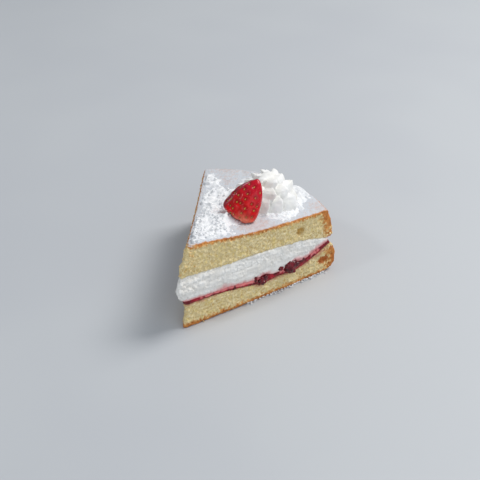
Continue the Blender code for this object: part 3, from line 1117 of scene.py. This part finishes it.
# %% Berry body
berry = copy_of_node("strawberry", "strawberry_half")
apply(berry, "SUBSURF", levels=1, render_levels=1)
apply(berry, "REMESH", mode="VOXEL", voxel_size=0.25 * MM)
apply(berry, "SMOOTH", factor=0.5, iterations=8)
BERRY_LEAN = Vector((0.503, -0.283, 0.817)).normalized()  # from the trimmed end to the point
BERRY_BACK = Vector((0.986, -0.166, 0.0))  # out of the cut side
BERRY_BACK = (BERRY_BACK - BERRY_LEAN * BERRY_BACK.dot(BERRY_LEAN)).normalized()
BERRY_SIDE = BERRY_LEAN.cross(BERRY_BACK).normalized()
BERRY_FOOT = Vector((0.0472 + AXIS.x, -0.0048 + AXIS.y, 0.0450))
points = points_of(berry)
away = points - np.array(BERRY_FOOT)
berry_along = away @ np.array(BERRY_LEAN)
berry_back = away @ np.array(BERRY_BACK)
berry_side = away @ np.array(BERRY_SIDE)
length = berry_along.max()
for name, reach in (("along", berry_along), ("back", berry_back), ("side", berry_side)):
    print("berry", name, "mm:", round(reach.min() / MM, 1), "to", round(reach.max() / MM, 1))

# %% [markdown]
# ### Where the seeds sit
#
# Seeds grow in rows round the berry, each row shifted against the next. A ray from outside finds
# the skin at each place, and places on the cut back are dropped. Chance moves each a little.

# %% Seed places
SEED_ROWS = 7
SEED_SPACING = 4.0 * MM
skin_tree = tree_of(berry)
seeds = []
for row in range(SEED_ROWS):
    along = length * (0.06 + 0.9 * row / (SEED_ROWS - 1))
    ring = np.abs(berry_along - along) < 0.4 * MM
    wide = (berry_side[ring].max() - berry_side[ring].min()) / 2
    count = max(1, int(math.pi * wide / SEED_SPACING))
    for index in range(count):
        angle = math.pi * (index + (0.5 if row % 2 else 0.05)) / count + dice.uniform(-0.12, 0.12)
        direction = BERRY_SIDE * math.cos(angle) - BERRY_BACK * math.sin(angle)
        start = BERRY_FOOT + BERRY_LEAN * (along + dice.uniform(-0.8, 0.8) * MM) + BERRY_BACK * 0.5 * MM
        hit, normal, _, _ = skin_tree.ray_cast(start + direction * 40 * MM, -direction)
        if hit and normal.dot(BERRY_BACK) < 0.45:
            seeds.append((hit, normal))
print("seeds:", len(seeds))

# %% [markdown]
# ### Dimples
#
# The skin dips round each seed, and the trimmed end is ragged where the leaves were pulled off.
# Both are moved vertex by vertex, as proportional editing would do it.

# %% Dimple the skin
seed_tree = KDTree(len(seeds))
for index, (place, _) in enumerate(seeds):
    seed_tree.insert(place, index)
seed_tree.balance()
DIMPLE = 1.25 * MM  # radius
DIMPLE_DEPTH = 0.7 * MM
nearest = np.array([seed_tree.find(Vector(p))[2] for p in points])
outwards = normals_of(berry)
dip = np.exp(-(nearest / DIMPLE) ** 2)
points -= outwards * (dip * DIMPLE_DEPTH)[:, None]
TRIMMED = 3.0 * MM  # length of the ragged end
RAGGED_BY = 1.3 * MM
ragged = np.array([noise.fractal(Vector(p) / (2.2 * MM), 1.0, 2.0, 2) for p in points])
ragged *= ease(TRIMMED - berry_along, 0, TRIMMED) * RAGGED_BY
points += np.array(BERRY_LEAN) * ragged[:, None]
move_points(berry, points)

# %% [markdown]
# ### What the berry's colours need
#
# The skin is given a painted shade where it turns away towards the cut side, and a painted highlight
# on that turn. How far a vertex has turned comes from its normal, as an angle: 0 in front, 90 at the
# side.

# %% Note the berry's regions
# angles where the rim's painted shade comes in, and where the painted highlight stands
RIM_SHADE_FROM, RIM_SHADE_TO = 15, 34
GLINT_AT, GLINT_WIDTH = 31, 3.5
forward = -(outwards @ np.array(BERRY_BACK))
round_the_side = np.degrees(np.arctan2(outwards @ np.array(BERRY_SIDE), forward))
along_share = berry_along / length
# painted shade: 0 in front, 1 where the skin has turned away
note(berry, "rim", ease(round_the_side, RIM_SHADE_FROM, RIM_SHADE_TO))
# painted highlight: a pale line along the turn of the skin, broken into patches
painted_glint = np.exp(-((round_the_side - GLINT_AT) / GLINT_WIDTH) ** 2)
painted_glint *= ease(patchy(points, 3.5 * MM, 31), -0.3, 0.05)
note(berry, "painted_glint", painted_glint * ease(along_share, 0.15, 0.3) * ease(1 - along_share, 0.05, 0.2))
note(berry, "dimple", dip)
note(berry, "along", np.clip(along_share, 0, 1))
note(berry, "side", berry_side / MM)
note(berry, "cut_side", ease(outwards @ np.array(BERRY_BACK), 0.55, 0.85))
faces_down = ease(-(outwards @ np.array(BERRY_LEAN)), 0.55, 0.85)
note(berry, "trimmed", faces_down * (berry_along < TRIMMED))
swell(berry, "CLOUDS", 3.5 * MM, 0.35 * MM, noise_depth=1)
shade_smooth(berry)

# %% [markdown]
# ### Berry finish
#
# Red skin under a thin wet coat: brighter red below, crimson towards the point as a painted sky
# sheen, painted shade in the dimples and at the rim, a painted highlight along the rim, pale at the
# trimmed foot. A few small flecks are painted highlights on the wet side. The cut back and the
# trimmed end show pale flesh.

# %% Berry material
berry_finish, tree, shader = fresh_material(
    "strawberry", Roughness=0.26, Specular_IOR_Level=0.2, Coat_Weight=0.22, Coat_Roughness=0.07,
    Subsurface_Weight=0.05, Subsurface_Scale=0.001, Subsurface_Radius=(1.0, 0.25, 0.15))
red = blend(tree, mottled(tree, 240, 0.35, 0.65), srgb(224, 2, 8), srgb(190, 0, 8))
# painted sky sheen: crimson towards the point
red = blend(tree, stepped(tree, noted(tree, "along"), 0.35, 0.8), red, srgb(188, 6, 34))
# painted shade: darker red in the dimples round the seeds
red = blend(tree, times(tree, noted(tree, "dimple"), 0.7), red, srgb(130, 2, 10))
# painted shade: darker crimson at the rim, where the skin turns away
red = blend(tree, times(tree, noted(tree, "rim"), 0.8), red, srgb(130, 2, 26))
# painted highlight: pale pink line along the rim
red = blend(tree, times(tree, noted(tree, "painted_glint"), 0.75), red, srgb(226, 140, 156))
# painted highlights: small pale flecks on one side of the berry
highlight_side = stepped(tree, noted(tree, "side"), 3.0, -4.0)
highlight_flecks = times(tree, mottled(tree, 950, 0.6, 0.68), highlight_side)
red = blend(tree, times(tree, highlight_flecks, 0.4), red, srgb(240, 110, 104))
at_foot = stepped(tree, noted(tree, "along"), 0.3, 0.02)
pale_spot = times(tree, at_foot, stepped(tree, noted(tree, "side"), -1.0, -7.0))
red = blend(tree, pale_spot, red, srgb(226, 118, 88))
flesh = blend(tree, mottled(tree, 120), srgb(238, 132, 110), srgb(246, 200, 180))
flesh = blend(tree, noted(tree, "trimmed"), flesh, srgb(206, 84, 70))
cut = maths(tree, "MAXIMUM", noted(tree, "cut_side"), noted(tree, "trimmed"))
colour_with(tree, shader, blend(tree, cut, red, flesh))
grainy(tree, shader, 800, 0.0, 0.06 * MM)
berry.data.materials.append(berry_finish)
belongs(berry, "strawberry", "strawberry")

# %% [markdown]
# ### Seeds
#
# A seed is a small sphere, flattened and drawn to a point. One is made, and a copy is laid at each
# place with its flat side on the skin and its point towards the point of the berry.

# %% Berry seeds
SEED_RADIUS = 0.52 * MM
SEED_SUNK = DIMPLE_DEPTH - 0.12 * MM
bpy.ops.mesh.primitive_uv_sphere_add(segments=8, ring_count=6, radius=SEED_RADIUS)
seed = bpy.context.object
edit(seed)
bpy.ops.transform.resize(value=(0.72, 1.25, 0.55))
done_editing()
for vertex in seed.data.vertices:
    vertex.co.x *= 1 - 0.5 * max(0, vertex.co.y / (0.6 * MM))
copies = []
for place, normal in seeds:
    up = (BERRY_LEAN - normal * BERRY_LEAN.dot(normal)).normalized()
    turn = Matrix((up.cross(normal), up, normal)).transposed().to_4x4()
    copy = copy_of(seed)
    copy.matrix_world = Matrix.Translation(place - normal * SEED_SUNK) @ turn
    copies.append(copy)
bpy.data.objects.remove(seed)
berry_seeds = joined(copies, "strawberry_seeds")
shade_smooth(berry_seeds)
seed_finish, tree, shader = fresh_material("strawberry seed", Roughness=0.35)
colour_with(tree, shader, blend(tree, mottled(tree, 900), srgb(206, 160, 60), srgb(160, 104, 34)))
berry_seeds.data.materials.append(seed_finish)
belongs(berry_seeds, "strawberry")

# %% [markdown]
# ## Fruit in the jam
#
# Whole berries in the jam are clusters of small round beads. A sphere is swelled with a cell
# pattern, which raises one bead in each cell, and each copy is stretched to its own size and
# rolled, so no two look the same.

# %% Jam fruit
bpy.ops.mesh.primitive_ico_sphere_add(subdivisions=5, radius=MM)
fruit = bpy.context.object
swell(fruit, "VORONOI", 0.55 * MM, -0.34 * MM, middle=0.3)
swell(fruit, "CLOUDS", 0.9 * MM, 0.5 * MM, noise_depth=1)
# distance from the axis, height, how far in from the face, half sizes along, in and up, turn
FRUIT = (
    (51.8, 11.0, -0.3, 4.2, 2.6, 3.4, 20), (69.6, 13.8, -0.5, 5.0, 2.8, 4.9, 75),
    (46.9, 13.4, -0.5, 1.2, 1.0, 2.0, 130), (63.6, 14.2, -0.6, 2.6, 1.1, 1.2, 40),
    (4.2, 16.4, 2.0, 1.9, 1.4, 1.0, 10), (33.0, 13.2, 0.5, 3.4, 1.2, 1.0, 200),
    (79.5, 14.2, 0.2, 4.2, 1.3, 1.1, 250),
)
FACE_FRAME = Matrix((ALONG_NEAR, NEAR_INWARD, Vector((0, 0, 1)))).transposed().to_4x4()
pieces_of_fruit = []
for out, height, inside, long, deep, high, turn in FRUIT:
    place = near_face(out * MM, height * MM) + NEAR_INWARD * inside * MM
    rolled = Matrix.Rotation(math.radians(turn), 4, (1, 1, 1))
    copy = copy_of(fruit)
    copy.matrix_world = (Matrix.Translation(place) @ FACE_FRAME
                         @ Matrix.Diagonal((long, deep, high, 1)) @ rolled)
    pieces_of_fruit.append(copy)
bpy.data.objects.remove(fruit)
jam_fruit = joined(pieces_of_fruit, "jam_fruit")
shade_smooth(jam_fruit)

# %% [markdown]
# ### Fruit finish
#
# Darker than the jam round it, and as wet.

# %% Fruit material
fruit_finish, tree, shader = fresh_material("fruit in the jam", Roughness=0.22, Specular_IOR_Level=0.4)
colour_with(tree, shader, blend(tree, mottled(tree, 420), srgb(112, 4, 24), srgb(74, 2, 18)))
jam_fruit.data.materials.append(fruit_finish)
belongs(jam_fruit, "jam")

# %% [markdown]
# ## Loose sugar and crumbs
#
# Sugar sticks together in small clumps, and a cut cake sheds crumbs. One lump of each kind is
# made, a round primitive with its vertices shaken out of place, and copies of it are strewn
# about, each turned and stretched by seeded chance.

# %% Strew copies


def shaken_lump(name, seed):
    """A rough round lump, 1 m in radius until it is sized."""
    bpy.ops.mesh.primitive_ico_sphere_add(subdivisions=2, radius=1.0)
    lump = bpy.context.object
    lump.name = name
    edit(lump)
    bpy.ops.transform.vertex_random(offset=0.3, seed=seed)
    done_editing()
    return lump


def strew(lump, places, sizes, name):
    """Copies of one lump at many places, joined into one piece."""
    copies = []
    for place, size in zip(places, sizes):
        copy = copy_of(lump)
        axis = Vector(dice.normal(size=3)).normalized()
        stretch = Matrix.Diagonal((*(size * dice.uniform(0.7, 1.3, 3)), 1))
        turn = Matrix.Rotation(dice.uniform(0, 6.28), 4, axis)
        copy.matrix_world = Matrix.Translation(place) @ turn @ stretch
        copies.append(copy)
    bpy.data.objects.remove(lump)
    made = joined(copies, name)
    shade_smooth(made)
    return made


# %% [markdown]
# ### Clumps of sugar
#
# Clumps lie where the coat is thick, except at the outer end of the near side, where the sugar is
# smoother. Sugar that fell off lies along the foot of the near face in smaller grains.

# %% Sugar clumps
CLUMPS_ON_TOP = 130
GRAINS_AT_FOOT = 260
SMOOTH_FROM, SMOOTH_TO = 50 * MM, 62 * MM  # from the axis, on the near side
points = points_of(coat)
smooth_end = ease(points[:, 0] - AXIS.x, SMOOTH_FROM, SMOOTH_TO) * (points[:, 1] < 0)
thick = sugar_cover(points) + 0.5 * patchy(points, CLUMP_SIZE, CLUMP_SEED) - 0.6 * smooth_end
upward = normals_of(coat)[:, 2] > 0.3
likely = np.flatnonzero(upward & (thick > 0.75))
chosen = dice.choice(likely, CLUMPS_ON_TOP, replace=False)
on_top = [Vector(points[i]) + Vector(dice.normal(0, 0.4 * MM, 3)) for i in chosen]
along_foot = [near_face(out * MM, 0.3 * MM) - NEAR_INWARD * abs(dice.normal(0.2, 0.9)) * MM
              for out in dice.uniform(40, 95, GRAINS_AT_FOOT)]
top_sizes = dice.uniform(0.4, 1.0, CLUMPS_ON_TOP) * MM
foot_sizes = dice.uniform(0.2, 0.55, GRAINS_AT_FOOT) * MM
clumps = strew(shaken_lump("clump", 4), on_top + along_foot, np.append(top_sizes, foot_sizes),
               "icing_sugar_clumps")
clumps.data.materials.append(sugar_finish)
belongs(clumps, "sugar")

# %% [markdown]
# ### Crumbs
#
# Crumbs lie along the foot of the near face, cling to the tip and to the notch where the layers
# part at the crust, and a few stick in the cream. Each kind of place is a small function, so that
# one loop can shed crumbs anywhere.

# %% Crumbs
crumb_places, crumb_sizes = [], []


def shed(count, place, least, most):
    """Choose places and sizes for some crumbs; place gives a new place each time."""
    for _ in range(count):
        crumb_places.append(place())
        crumb_sizes.append(dice.uniform(least, most) * MM)


def near_depth(found):
    """How far points lie behind the near cut face."""
    return (found - np.array(near_face(0, 0))) @ np.array(NEAR_INWARD)


def at_foot_of_face():
    beside = near_face(dice.uniform(8, 92) * MM, 0.2 * MM)
    return beside - NEAR_INWARD * abs(dice.normal(0, 0.7)) * MM


def in_cream():
    return near_face(dice.uniform(6, 92) * MM, dice.normal(29, 2) * MM) - NEAR_INWARD * 0.2 * MM


TIP = 7 * MM  # length of the tip that crumbs cling to
NOTCH_OUT = 92 * MM
NOTCH_HEIGHT, NOTCH_HALF = 22.5 * MM, 7 * MM
shed(70, at_foot_of_face, 0.15, 0.4)
top_points, bottom_points = points_of(top_sponge), points_of(bottom_sponge)
at_tip = top_points[top_points[:, 0] < AXIS.x + TIP]
shed(60, lambda: Vector(dice.choice(at_tip)), 0.25, 0.6)
for found in (top_points, bottom_points):
    out = (found - np.array(near_face(0, 0))) @ np.array(ALONG_NEAR)
    in_notch = np.abs(found[:, 2] - NOTCH_HEIGHT) < NOTCH_HALF
    at_notch = found[(near_depth(found) < 5 * MM) & (out > NOTCH_OUT) & in_notch]
    print("crumb places at the notch:", len(at_notch))
    shed(40, lambda: Vector(dice.choice(at_notch)), 0.2, 0.65)
shed(40, in_cream, 0.15, 0.35)
crumbs = strew(shaken_lump("crumb", 9), crumb_places, crumb_sizes, "sponge_crumbs")
crumb_finish, tree, shader = fresh_material("loose crumb", Roughness=0.9, Specular_IOR_Level=0.2)
pale_or_baked = mottled(tree, 150, 0.5, 0.7)
colour_with(tree, shader, blend(tree, pale_or_baked, srgb(236, 212, 158), srgb(206, 152, 88)))
grainy(tree, shader, 1800, 0.5, 0.2 * MM)
crumbs.data.materials.append(crumb_finish)
belongs(crumbs, "sponge")

# %% [markdown]
# ## Clearing up
#
# The helper copies of the CAD solids are removed.

# %% Remove the helpers
for helper in (plain_bottom, plain_jam, plain_cream):
    bpy.data.objects.remove(helper)
